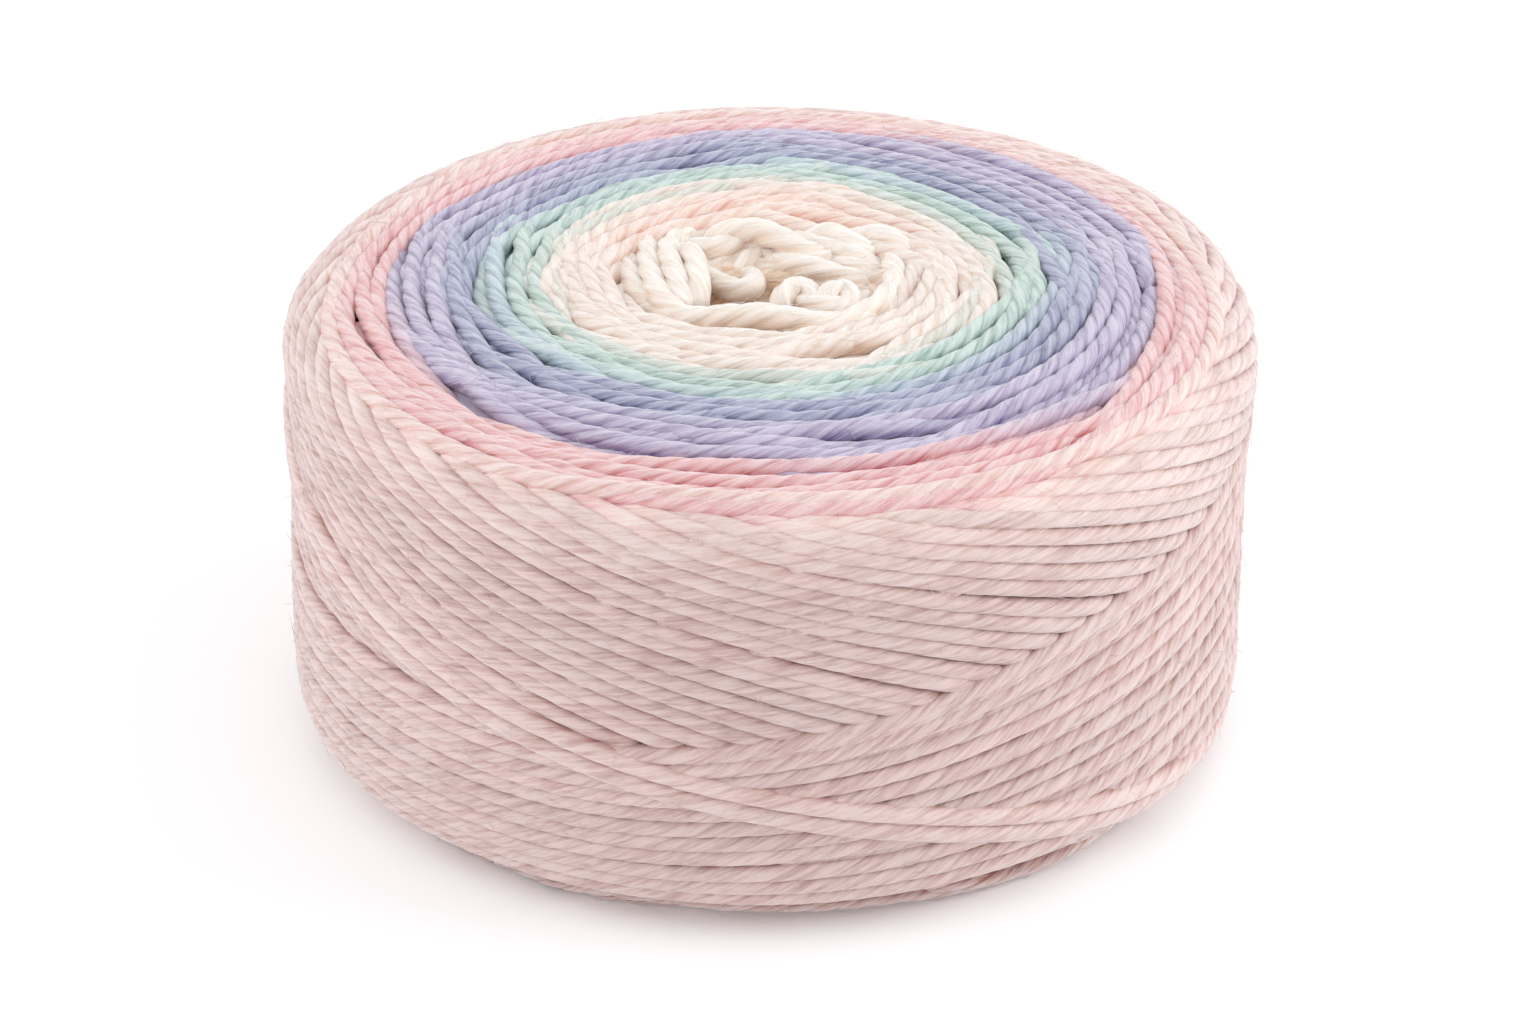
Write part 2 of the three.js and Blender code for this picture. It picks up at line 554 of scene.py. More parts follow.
def spiral(name, start_along, end_along, crossings, pitch, size, dye_of):
    count = int(abs(end_along - start_along) / pitch * COLUMNS)
    turns = np.arange(count) / COLUMNS
    even = np.linspace(start_along, end_along, count)
    along = even + crossing_side(turns, crossings) * CROSSING_REACH * pitch + bends(count, *SPIRAL_BENDS)
    strand = Strand(name, RIGHT, along, size, slides=True, ply_depth=OPEN_PLY_DEPTH)
    strand.dye = dye_of(even, strand.angle)
    return strand


def top_dye(along, angle):
    radius = skin_radius(along)
    # Painted shade: towards the well's floor the dye turns tan
    well_shade = (1.0 - ramp(along, *(along_at(edge) for edge in WELL_SHADE_RADII)))[:, None]
    share, middle, reach, heading, narrowness = PEACH
    back = (1.0 + np.sin(angle - heading)) / 2.0
    peach = (share * bell(radius, middle, reach) * back ** narrowness)[:, None]
    drift = ring_curve(DRIFT_ANGLES, DRIFT, np.degrees(angle) + 90.0) * ramp(radius, *DRIFT_RADII)
    dye = dyed(radius - drift, DYE_RUNS) * (1.0 - peach) + DYES["peach"] * peach
    return dye * (1.0 - well_shade) + DYES["tan"] * well_shade


def base_dye(along, _):
    return dyed(skin_radius(along) + BASE_SHIFT, DYE_RUNS)


# Spirals: name, start and end along the outline, crossings, distance between turns, strand's radius and dye
BASE_CROSSINGS = (-50, 30, 100, 190, 250)
BASE_SHIFT = 13.0
TOP_FROM = along_at(34.0)
SPIRALS = (
    ("inner", 4.0, TOP_FROM, TOP_CROSSINGS, 1.8, 1.68, top_dye),
    ("top", TOP_FROM - 0.8, along_at(66.0), TOP_CROSSINGS, 1.58, 1.5, top_dye),
    ("base", OUTLINE_LENGTH - 3.0, SIDE_END - 1.0, BASE_CROSSINGS, 1.58, 1.5, base_dye),
)

# Turns of the side: loops that run up and down between the rim and the base, each a little before the last.
# Their advance, apex and bends are in degrees round the drum.
LOOP_ADVANCE = 7.2
LOOP_COUNT = 53
LOOP_BOTTOM = SIDE_END + 2.5
LOOP_SIZE = 1.42
LOOP_UNDER_RIM = 5.0
LOOP_APEX = 50.0
SHARPEST_BEND = 12.0
WIDEST_BEND = 32.0
GOLDEN = 0.618034

# Sways that neighbouring loops share: size, waves in a round, and millimetres of outline for each radian
LOOP_SWAYS = ((0.6, 3.0, 9.0), (0.4, 5.0, -14.0))
# Bends of its own that each loop has, and those of its dye
LOOP_BENDS = ((0.25, 0.16), (0.09, 0.08))
SIDE_DYE_BENDS = (0.6, 1.3)
SIDE_UNEVENNESS = 0.025


def bent(distance, reach):
    """The distance from a corner of a zigzag, with the corner rounded off over a reach on both sides."""
    near = np.minimum(np.abs(distance), reach)
    arch = reach / math.pi ** 2 * (np.cos(math.pi * near / reach) + 1.0)
    return np.abs(distance) - near + (near ** 2 / (2 * reach) - arch + 0.5 * reach)


def bend_reach(number):
    """How widely a loop turns round, spread evenly between the sharpest and the widest bend."""
    return SHARPEST_BEND + (WIDEST_BEND - SHARPEST_BEND) * (number * GOLDEN % 1.0)


def side_loops():
    count = LOOP_COUNT * COLUMNS
    turns = np.arange(count) / COLUMNS
    travel = turns * 360.0 - 180.0 - LOOP_APEX - LOOP_ADVANCE * (LOOP_COUNT - turns)
    number = np.floor((travel + 180.0) / 360.0)
    from_top = travel - 360.0 * number
    foot_number = np.floor(travel / 360.0)
    from_foot = travel - 180.0 - 360.0 * foot_number
    near_top = bent(from_top, bend_reach(number))
    near_foot = 180.0 - bent(from_foot, bend_reach(foot_number))
    wave = np.where(np.abs(from_top) < 90.0, near_top, near_foot) / 180.0
    degrees = turns * 360.0 - 90.0
    top = rim_edge(degrees) - LOOP_UNDER_RIM
    along = top + (LOOP_BOTTOM - top) * wave
    round_drum = np.radians(degrees)
    sways = [size * np.sin(waves * round_drum + along / drift) for size, waves, drift in LOOP_SWAYS]
    along = along + sum(sways)
    for apart, size in LOOP_BENDS:
        along = along + bends(count, apart, size)
    strand = Strand("side", LEFT, along, LOOP_SIZE)
    strand.dye = dyed(along - top + bends(count, *SIDE_DYE_BENDS), SIDE_RUNS) * uneven(count, SIDE_UNEVENNESS)
    return strand


# Turns of the rim over the tops of the loops. The last ones calm down, and turn to blush near the rim's edge.
RIM_TURNS = 5.4
RIM_CALM_TURNS = 1.2
RIM_BENDS = (0.11, 0.2)
RIM_SIZE = 1.5
RIM_CROSSINGS = (-118, -40, 27, 110, 188)
RIM_BLUSH = (-4.0, -0.5)
RIM_BLUSH_SHARE = 0.9


def rim():
    count = int(RIM_TURNS * COLUMNS)
    turns = np.arange(count) / COLUMNS
    degrees = turns * 360.0 + 90.0
    edge = rim_edge(degrees)
    pitch = (edge - RIM_START) / RIM_TURNS
    place = RIM_START + (edge - RIM_START) * turns / RIM_TURNS
    calm = 1.0 - ramp(turns, RIM_TURNS - RIM_CALM_TURNS, RIM_TURNS)
    along = place + crossing_side(turns, RIM_CROSSINGS) * pitch * calm + bends(count, *RIM_BENDS)
    strand = Strand("rim", RIGHT, along, RIM_SIZE, slides=True, sunk=0.0, ply_depth=OPEN_PLY_DEPTH)
    outer = (RIM_BLUSH_SHARE * ramp(place - edge, *RIM_BLUSH))[:, None]
    strand.dye = top_dye(place, strand.angle) * (1.0 - outer) + DYES["blush"] * outer
    return strand


# Fan over the side
FAN_BENDS = (0.1, 0.2)
FAN_UNEVENNESS = 0.03


def fan(name, shift, sunk):
    """Turns that rise from the left to the right, shifted by a part of their spacing."""
    count = FAN_TURNS * COLUMNS
    turns = np.arange(count) / COLUMNS
    degrees = turns * 360.0 - 180.0
    rise = (turns + shift) / FAN_TURNS
    highest = ring_curve(FAN_ANGLES, FAN_HIGHEST, degrees)
    lowest = ring_curve(FAN_ANGLES, FAN_LOWEST, degrees)
    height = lowest + (highest - lowest) * rise + bends(count, *FAN_BENDS)
    strand = Strand(name, BACK, along_side(height), FAN_SIZE, sunk=sunk)
    strand.dye = DYES["dusty_pink"] * uneven(count, FAN_UNEVENNESS)
    return strand


# The last two turns, laid over the fan from the rim at the left down to the base at the right: their heights,
# the turn at which these hold, and the next turn's distance. They stand out further than they would lie.
LAST_ANGLES = (-180, -128, -67, -28, 13, 53, 100, 140)
LAST_HEIGHTS = (60.0, 66.0, 46.0, 32.5, 20.5, 9.0, 7.0, 30.0)
LAST_MIDDLE = 1.5
LAST_SPACING = 2.9
LAST_SIZE = 1.5
LAST_RISE = 0.45
LAST_UNEVENNESS = 0.02


def last_turns():
    count = 2 * COLUMNS
    turns = np.arange(count) / COLUMNS
    height = ring_curve(LAST_ANGLES, LAST_HEIGHTS, turns * 360.0 - 180.0)
    height = height + LAST_SPACING * (turns - LAST_MIDDLE)
    strand = Strand("last", BACK, along_side(height), LAST_SIZE, sunk=0.0)
    strand.dye = 0.5 * (DYES["ivory"] + DYES["dusty_pink"]) * uneven(count, LAST_UNEVENNESS)
    return strand


strands = [
    *(spiral(*row) for row in SPIRALS),
    side_loops(),
    rim(),
    fan("under_fan", shift=-0.5, sunk=0.15),
    fan("fan", shift=0.0, sunk=0.0),
    last_turns(),
]
for strand in strands:
    lay(strand)
strands[-1].lift += LAST_RISE

# What shows: where a strand's top lies no deeper than a margin. Each stretch is grown at both ends.
SIGHT_MARGIN = 0.4
SIGHT_GROWTH = 2.0
SHORTEST_STRETCH = 8
cover = np.maximum(field, np.maximum(np.roll(field, 1, axis=1), np.roll(field, -1, axis=1)))


def seen(strand):
    """True where some of a strand's top lies at or near the top of the field."""
    columns = strand.first + np.arange(len(strand.along))
    shows = np.zeros(len(strand.along), dtype=bool)
    for part in OFFSETS:
        cells = field_cells(columns, strand.along, part * strand.size)
        shows |= strand.lift + dome(part, strand.size) > cover[cells] - SIGHT_MARGIN
    return shows


def stretches(shows, step):
    """Start and end of each run that shows."""
    grow = np.ones(2 * int(SIGHT_GROWTH / step) + 1)
    wide = np.convolve(shows.astype(float), grow, mode="same") > 0.5
    edges = np.flatnonzero(np.diff(joined([0], wide.astype(int), [0])))
    return [(a, b) for a, b in zip(edges[::2], edges[1::2]) if b - a > SHORTEST_STRETCH]


# Tubes of twisted plies, whose section has a valley at the first point of each ply
STEP = 1.5
POINTS_PER_PLY = 3
SECTION = PLY_COUNT * POINTS_PER_PLY
FLUFF = 1.12
END_TAPER = 0.35
SLOT = np.arange(SECTION)
AFTER = (SLOT + 1) % SECTION
VALLEY = SLOT % POINTS_PER_PLY == 0
ROUND = np.arange(SECTION + 1) / SECTION

# Cosines of the angle from the outer side at which a point is buried and open. The buried sides and underside
# of a tube get painted shade.
OPEN_FROM = (0.1, 0.75)

# Room on the unrolled strips: for a cap, between stretches, and at a row's ends and sides
CAP_ROOM = 0.5
STRETCH_ROOM = 2.0
END_ROOM = 1.0
SIDE_ROOM = 0.05


def frames(points, out):
    """Two unit vectors across a path: the one nearest to out, and the one beside it."""
    tangent = np.gradient(points, axis=0)
    tangent /= np.linalg.norm(tangent, axis=1)[:, None]
    out = out - (out * tangent).sum(axis=1)[:, None] * tangent
    out /= np.linalg.norm(out, axis=1)[:, None]
    return out, np.cross(tangent, out)


class Bundle:
    """Tubes that are gathered into one mesh."""

    def __init__(self, name):
        self.name = name
        self.points, self.dyes, self.shades, self.quads, self.caps = ([] for _ in range(5))
        self.size = 0
        self.length = 0.0
        self.triangles = 0

    def add(self, points, out, size, dye, start_run, twist_length=TWIST_LENGTH, ply_depth=PLY_DEPTH):
        count = len(points)
        lengths = length_along(points)
        run = start_run + lengths
        side_out, side_in = frames(points, out)
        twist = TAU * (SLOT[None, :] / SECTION - run[:, None] / twist_length)
        taper = np.ones(count)
        taper[[0, -1]] = END_TAPER
        girth = FLUFF * size * (1.0 - ply_depth * VALLEY[None, :]) * taper[:, None]
        outward = np.cos(twist)[:, :, None] * side_out[:, None, :]
        sideways = np.sin(twist)[:, :, None] * side_in[:, None, :]
        ring = points[:, None, :] + girth[:, :, None] * (outward + sideways)
        self.points += [ring.reshape(-1, 3), points[[0, -1]]]
        self.dyes += [np.repeat(dye, SECTION, axis=0), dye[[0, -1]]]
        # Painted shade: how open each point is, turning to shade on the tube's sides and underside
        self.shades += [ramp(np.cos(twist), *OPEN_FROM).ravel(), np.zeros(2)]
        first = self.size
        end = first + (count - 1) * SECTION
        middle = np.full(SECTION, end + SECTION)
        row = first + np.arange(count - 1)[:, None] * SECTION
        corners = stacked(row + SLOT, row + AFTER, row + SECTION + AFTER, row + SECTION + SLOT)
        place = self.length + lengths
        self.quads.append((corners.reshape(-1, 4), run * TWIST_LENGTH / twist_length, place))
        start_cap = stacked(first + AFTER, first + SLOT, middle)
        end_cap = stacked(end + SLOT, end + AFTER, middle + 1)
        self.caps += [(start_cap, run[0], place[0] - CAP_ROOM), (end_cap, run[-1], place[-1] + CAP_ROOM)]
        self.size = first + count * SECTION + 2
        self.length = place[-1] + STRETCH_ROOM
        self.triangles += 2 * SECTION * count


def strip_maps(bundle):
    """Corner values of the unrolled tubes: along and round the yarn, and packed in rows to bake on."""
    width = math.sqrt(bundle.length * TAU * YARN_RADIUS)
    rows = math.ceil(bundle.length / width)
    strands_at = []
    packed = []

    def pack(start, along, around):
        row = np.floor(start / width)
        across = (along - row * width + END_ROOM) / (width + 2.0 * STEP + 2.0 * END_ROOM)
        return stacked(across, (row + SIDE_ROOM + (1.0 - 2.0 * SIDE_ROOM) * around) / rows)

    def at_corners(values):
        """The values of a tube's rings, at the corners of the faces between them."""
        faces = stacked(values[:-1], values[:-1], values[1:], values[1:])
        return faces[:, None, :].repeat(SECTION, axis=1)

    for _, run, place in bundle.quads:
        around = stacked(ROUND[:-1], ROUND[1:], ROUND[1:], ROUND[:-1])[None]
        around = around.repeat(len(place) - 1, axis=0)
        places = at_corners(place)
        strands_at.append(stacked(at_corners(run), around).reshape(-1, 2))
        packed.append(pack(places[..., :1], places, around).reshape(-1, 2))
    for index, (_, run, place) in enumerate(bundle.caps):
        inward = CAP_ROOM if index % 2 == 0 else -CAP_ROOM
        left, right = (ROUND[1:], ROUND[:-1]) if index % 2 == 0 else (ROUND[:-1], ROUND[1:])
        around = stacked(left, right, 0.5 * (left + right))
        places = np.tile([place + inward, place + inward, place], (SECTION, 1))
        strands_at.append(stacked(np.full_like(around, run), around).reshape(-1, 2))
        packed.append(pack(places[:, :1], places, around).reshape(-1, 2))
    return np.concatenate(strands_at), np.concatenate(packed)


def finished_piece(name, points, quads, triangles, dye, shade, strand_map, bake_map, material):
    """A piece with the attributes that the yarn material reads."""
    corners = joined(quads.ravel(), triangles.ravel())
    sizes = np.repeat([4, 3], [len(quads), len(triangles)])
    mesh = bpy.data.meshes.new(name)
    mesh.vertices.add(len(points))
    mesh.vertices.foreach_set("co", (points * MM).ravel())
    mesh.loops.add(len(corners))
    mesh.loops.foreach_set("vertex_index", corners.astype(np.int32))
    mesh.polygons.add(len(sizes))
    starts = joined([0], np.cumsum(sizes)[:-1])
    mesh.polygons.foreach_set("loop_start", starts.astype(np.int32))
    mesh.polygons.foreach_set("use_smooth", np.ones(len(sizes), dtype=bool))
    coloured = np.concatenate([dye, np.ones((len(dye), 1))], axis=1)
    mesh.attributes.new("Dye", "FLOAT_COLOR", "POINT").data.foreach_set("color", coloured.ravel())
    mesh.attributes.new("Shade", "FLOAT", "POINT").data.foreach_set("value", shade)
    mesh.attributes.new("Strand", "FLOAT2", "CORNER").data.foreach_set("vector", strand_map.ravel())
    mesh.uv_layers.new(name="OFBake").data.foreach_set("uv", bake_map.ravel())
    mesh.update(calc_edges=True)
    mesh.materials.append(material)
    piece = bpy.data.objects.new(name, mesh)
    bpy.context.scene.collection.objects.link(piece)
    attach(piece, "root")
    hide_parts("yarn_cake")


def bundle_mesh(bundle, material):
    quads, caps = (np.concatenate([face[0] for face in faces]) for faces in (bundle.quads, bundle.caps))
    points, dyes, shades = (np.concatenate(part) for part in (bundle.points, bundle.dyes, bundle.shades))
    finished_piece(bundle.name, points, quads, caps, dyes, shades, *strip_maps(bundle), material)


# Surfaces, as the values of a shader's inputs
YARN_SURFACE = {"Roughness": 0.85, "Specular IOR Level": 0.2, "Sheen Weight": 0.75, "Sheen Roughness": 0.45}
PAPER_SURFACE = {
    "Base Color": (0.985, 0.985, 0.995, 1.0),
    "Roughness": 0.9,
    "Emission Color": (1.0, 1.0, 1.0, 1.0),
    "Emission Strength": 0.07,
}

# Grain of the yarn: its scales along the yarn and round it, and its detail
STREAKS = (0.17, 15.0, 2.0)
FIBRES = (0.5, 55.0, 2.0)
SLOW_CHANGES = (0.045, 7.3, 1.0)

# White in the dye's lit end, and what mixes the colour toward a darker shaded copy: painted shade on the
# buried sides, then the grain, as a share, or a factor and a part that is added
WHITE_SHARE = 0.2
BURIED_SHADE_SHARE = 0.5
STREAK_MIDDLE = 0.56
FIBRE_SHARE = (-0.6, 0.32)
SLOW_SHARE = (-0.5, 0.3)

# Fine relief: its depth, and the weights of the plies, the streaks and the fibres
RELIEF_DEPTH = 0.4
PLY_RELIEF = 0.8
STREAK_RELIEF = 0.9
FIBRE_RELIEF = 0.3


def surface(name, values):
    """A new material, and its shader with these values."""
    material = bpy.data.materials.new(name)
    material.use_nodes = True
    shader = material.node_tree.nodes["Principled BSDF"]
    for socket, value in values.items():
        shader.inputs[socket].default_value = value
    return material, shader


def yarn_material(name, groove_shade_share, streak_share, relief):
    """Plied yarn: rounded plies with fine fibres along them, and painted shade that darkens the dye in the
    grooves and on the buried sides.
    """
    material, shader = surface(name, YARN_SURFACE)
    nodes = material.node_tree.nodes
    links = material.node_tree.links

    def feed(socket, source):
        if isinstance(source, bpy.types.NodeSocket):
            links.new(source, socket)
        else:
            socket.default_value = source

    def compute(operation, *sources):
        node = nodes.new("ShaderNodeMath")
        node.operation = operation
        for socket, source in zip(node.inputs, sources):
            feed(socket, source)
        return node.outputs[0]

    def times(source, factor):
        return compute("MULTIPLY", source, factor)

    def attribute(name, output):
        node = nodes.new("ShaderNodeAttribute")
        node.attribute_name = name
        return node.outputs[output]

    def noise(along, around, grain):
        along_scale, around_scale, detail = grain
        vector = nodes.new("ShaderNodeCombineXYZ")
        feed(vector.inputs[0], times(along, along_scale))
        feed(vector.inputs[1], times(around, around_scale))
        node = nodes.new("ShaderNodeTexNoise")
        node.noise_dimensions = "2D"
        node.inputs["Scale"].default_value = 1.0
        node.inputs["Detail"].default_value = detail
        feed(node.inputs["Vector"], vector.outputs[0])
        return node.outputs[0]

    def blend(share, first, second, kind="MIX"):
        node = nodes.new("ShaderNodeMix")
        node.data_type = "RGBA"
        node.blend_type = kind
        colours = [socket for socket in node.inputs if socket.type == "RGBA"]
        for socket, source in zip((node.inputs[0], *colours), (share, first, second)):
            feed(socket, source)
        return [socket for socket in node.outputs if socket.type == "RGBA"][0]

    split = nodes.new("ShaderNodeSeparateXYZ")
    feed(split.inputs[0], attribute("Strand", "Vector"))
    along, around = split.outputs[0], split.outputs[1]
    dye = attribute("Dye", "Color")
    buried_shade = compute("SUBTRACT", 1.0, attribute("Shade", "Fac"))

    plies = times(around, float(PLY_COUNT))
    ridge = compute("SINE", times(compute("PINGPONG", plies, 0.5), math.pi))
    # Painted shade in the grooves between the plies: the groove darkens the colour
    groove = compute("POWER", compute("SUBTRACT", 1.0, ridge), 2.0)
    streaks = noise(along, around, STREAKS)
    fibres = noise(along, around, FIBRES)
    slow = noise(along, compute("FLOOR", plies), SLOW_CHANGES)

    # Lit and shaded copies of the dye: the dye lightened with white, and the dye cubed for painted shade
    light = blend(WHITE_SHARE, dye, (1.0, 1.0, 1.0, 1.0))
    shaded_dye = blend(1.0, blend(1.0, dye, dye, "MULTIPLY"), dye, "MULTIPLY")
    # Painted shade on the buried sides and in the ply grooves, then the grain, set how far the colour goes
    # toward the shaded copy
    shade_and_grain = compute("MULTIPLY_ADD", buried_shade, BURIED_SHADE_SHARE, times(groove, groove_shade_share))
    shade_and_grain = compute("ADD", shade_and_grain, times(compute("SUBTRACT", STREAK_MIDDLE, streaks), streak_share))
    shade_and_grain = compute("ADD", shade_and_grain, compute("MULTIPLY_ADD", fibres, *FIBRE_SHARE))
    shade_and_grain = compute("ADD", shade_and_grain, compute("MULTIPLY_ADD", slow, *SLOW_SHARE))
    feed(shader.inputs["Base Color"], blend(shade_and_grain, light, shaded_dye))

    height = compute("MULTIPLY_ADD", streaks, STREAK_RELIEF, times(ridge, PLY_RELIEF))
    height = compute("MULTIPLY_ADD", fibres, FIBRE_RELIEF, height)
    bump = nodes.new("ShaderNodeBump")
    bump.inputs["Strength"].default_value = relief
    bump.inputs["Distance"].default_value = RELIEF_DEPTH * MM
    feed(bump.inputs["Height"], height)
    feed(shader.inputs["Normal"], bump.outputs[0])
    return material


open_yarn = yarn_material("open_plied_yarn", groove_shade_share=0.32, streak_share=1.1, relief=0.7)
taut_yarn = yarn_material("taut_plied_yarn", groove_shade_share=0.14, streak_share=0.9, relief=0.45)

# Triangles at which a piece is closed, and the smoothing of a strand's path
PIECE_TRIANGLES = 50000
LIFT_SMOOTHING = 3.0
hairs_from = []


def tubes(strand):
    """The stretches of a strand that show, gathered in bundles of a fair size."""
    lift = smooth(strand.lift, LIFT_SMOOTHING)
    path = on_drum(strand.angle, strand.along, lift)
    above = on_drum(strand.angle, strand.along, lift + 1.0) - path
    # On the base a lift moves nothing, because the strand rests on the floor, and its outer side is below
    above[np.linalg.norm(above, axis=1) < 0.5] = (0.0, 0.0, -1.0)
    run = length_along(path)
    made = [Bundle(strand.name + "_turns_1")]
    for first, last in stretches(seen(strand), np.diff(run).mean()):
        count = max(4, int(round((run[last - 1] - run[first]) / STEP)) + 1)
        at = np.linspace(run[first], run[last - 1], count)
        points, out, dye = (sampled(at, run, rows) for rows in (path, above, strand.dye))
        if made[-1].triangles > PIECE_TRIANGLES:
            made.append(Bundle(strand.name + "_turns_" + str(len(made) + 1)))
        made[-1].add(points, out, strand.size, dye, at[0], ply_depth=strand.ply_depth)
        hairs_from.append((points, out, strand.size, dye))
    return [bundle for bundle in made if bundle.size]


# Slack loops that have fallen into the well, from its left over the back to its right, middle and front: the
# strand's radius, and points as the photograph shows them on the plane of the shoulder, to the right and to
# the back, with a height above the floor
SLACK_LOOPS = (
    (1.75, (-15, 17, 69.6), (-18.6, 14.5, 71.3), (-18.6, 8, 71.7), (-17.8, 1, 71.8),
     (-16.2, -6, 71.6), (-13.4, -11.5, 71), (-8.5, -15.5, 70)),
    (1.8, (-9, 15.5, 69.8), (-12.4, 15.8, 71.2), (-15.2, 13.4, 72), (-15.2, 7, 72.3),
     (-14.2, 1, 72.2), (-13.4, -5, 71.4), (-12.2, -10.5, 69.8)),
    (1.85, (-15, 4, 68.8), (-14.6, 8, 70.8), (-12.4, 9.4, 72), (-11.2, 6, 72.2), (-10.7, 0.5, 72),
     (-10.5, -5, 71), (-10.8, -10.5, 69.2)),
    (1.7, (-18.6, 17, 68.2), (-21.4, 13.6, 70.2), (-21.8, 7, 70.8), (-21, 0.5, 70.8),
     (-19.2, -6, 70.4), (-16, -11, 69.2)),
    (1.8, (-23, 16.5, 69.8), (-17, 18.8, 71.2), (-11, 18.8, 71.2), (-6, 17.5, 70)),
    (1.85, (-14.5, 11, 69.6), (-11, 11.5, 70.8), (-7.6, 12, 71.2), (-5, 13.6, 71),
     (-2.5, 15.5, 69.8)),
    (1.7, (-12, 6.5, 67), (-9, 6.6, 68.2), (-6, 6.4, 68.4), (-3, 8, 67.4)),
    (1.95, (-10, 11, 68.8), (-8.2, 15.4, 71), (-5, 18, 72.8), (-1.6, 18.2, 73.4), (1.6, 15.8, 73.2),
     (4.4, 12.4, 72.6), (7.4, 9.6, 71.8), (10.8, 7.4, 70.8)),
    (1.8, (2, 14.5, 70.2), (6, 13.4, 71.6), (10.4, 11, 72), (14.2, 8, 71.6), (16.8, 4.6, 70.6),
     (17.6, 1, 69)),
    (1.75, (5, 10.8, 69.6), (9.4, 8.6, 70.8), (13.2, 5.4, 70.8), (16.4, 2, 69.8), (17.6, -1.5, 68.4)),
    (1.85, (-1, 9.4, 67.8), (2.4, 7.2, 70), (6, 5.2, 71), (10, 2.8, 70.8), (13.6, 0.6, 70),
     (17, -2, 68.6)),
    (1.75, (1, 4.2, 66.6), (4.4, 2.4, 68.2), (8.2, 0.8, 69.2), (12.2, -1.2, 69), (15.6, -3.6, 68)),
    (1.7, (-6.2, -0.5, 66.8), (-5, 3.4, 68.6), (-3.4, 7, 69.6), (-1.2, 10.2, 69.6), (1.4, 12.6, 68.4)),
    (1.75, (-11, 4, 69.2), (-8.8, 1, 69.6), (-6.8, -1.2, 69.6), (-4.4, -2.6, 69.8), (-2.3, -1.4, 70.2),
     (-2.2, 1.2, 69.8), (-3.6, 3.2, 68.4)),
    (1.75, (2.2, -12, 69.6), (2.4, -6.8, 71.6), (3.6, -3.4, 72.4), (5.6, -2.8, 72.4), (7, -5.6, 71.8),
     (7.8, -10, 70.8), (9.2, -14, 69.8)),
    (1.75, (8, -12.5, 69.8), (8.8, -7.4, 71.6), (10, -4.2, 72.4), (11.8, -3.8, 72.2), (12.8, -7, 71.6),
     (12, -11, 70.8), (9.6, -15, 69.8)),
    (1.7, (5, -5, 70.4), (6.4, -8, 71.2), (9.4, -9.4, 71.4), (12.6, -9, 71), (15.4, -6, 70.2)),
    (1.9, (-19.4, -9.6, 68.6), (-14.8, -12.6, 70.2), (-9.6, -13.4, 71.2), (-4.6, -12.8, 72),
     (0.2, -12.8, 72.2), (5, -14.4, 72), (10, -15.6, 71.6), (15, -13.6, 70.8), (18, -9.6, 69.6)),
    (1.8, (16.5, 11, 68.8), (19.2, 9, 71), (19.8, 3, 72), (19, -3, 72.2), (17, -8.4, 72),
     (13.4, -12.6, 71.4), (8.6, -16, 70.2)),
    (1.95, (6, 13, 69.6), (7.6, 15.6, 71.6), (10.2, 16.4, 72.4), (13, 13.8, 72.6), (15.2, 10.4, 71.8),
     (16.8, 8, 70)),
    (1.95, (12.8, 12.8, 70), (14.4, 15.4, 71.6), (17.2, 16, 72.4), (20, 13.6, 72.4), (21.6, 9.8, 71.8),
     (21.6, 6, 70.4)),
)
SLACK_TWIST = 21.0
SLACK_PLY_DEPTH = 0.17
SLACK_PLANE = 72.1
SLACK_STEP = 0.9

# Their bends, steps apart and size, and the painted shade in tan on their lower parts down in the well: its
# share and heights
SLACK_BEND_STEPS = 5.0
SLACK_BEND = 0.12
SLACK_WELL_SHADE_SHARE = 0.35
SLACK_WELL_SHADE_HEIGHTS = (66.5, 70.5)

# Nest on the floor of the well: a coil that widens and rises outwards
NEST_POINTS = 80
NEST_TURNS = 2.6
NEST_RADII = (2.4, 9.0)
NEST_STRETCH = 1.2
NEST_HEIGHT = 61.5
NEST_SLOPE = 0.12
NEST_BEND_POINTS = 9.0
NEST_BEND = 0.3
NEST_SIZE = 1.75


def curve_through(knots, spacing):
    """A smooth path through points, sampled evenly."""
    around = joined([2 * knots[0] - knots[1]], knots, [2 * knots[-1] - knots[-2]])
    part = np.linspace(0.0, 1.0, 24, endpoint=False)[:, None]
    spans = [between(*four, part) for four in zip(around, around[1:], around[2:], around[3:])]
    path = np.concatenate(spans + [knots[-1:]])
    length = length_along(path)
    return sampled(np.linspace(0.0, length[-1], max(4, int(length[-1] / spacing) + 1)), length, path)


def nest():
    """A loose coil on the floor of the well."""
    angle = np.linspace(0.0, NEST_TURNS * TAU, NEST_POINTS)
    radius = np.linspace(*NEST_RADII, NEST_POINTS) + wander(NEST_POINTS, NEST_BEND_POINTS, NEST_BEND)
    x = WELL_CENTRE[0] + NEST_STRETCH * radius * np.cos(angle)
    y = WELL_CENTRE[1] + radius * np.sin(angle)
    z = NEST_HEIGHT + NEST_SLOPE * radius + wander(NEST_POINTS, NEST_BEND_POINTS, NEST_BEND)
    return stacked(x, y, z)


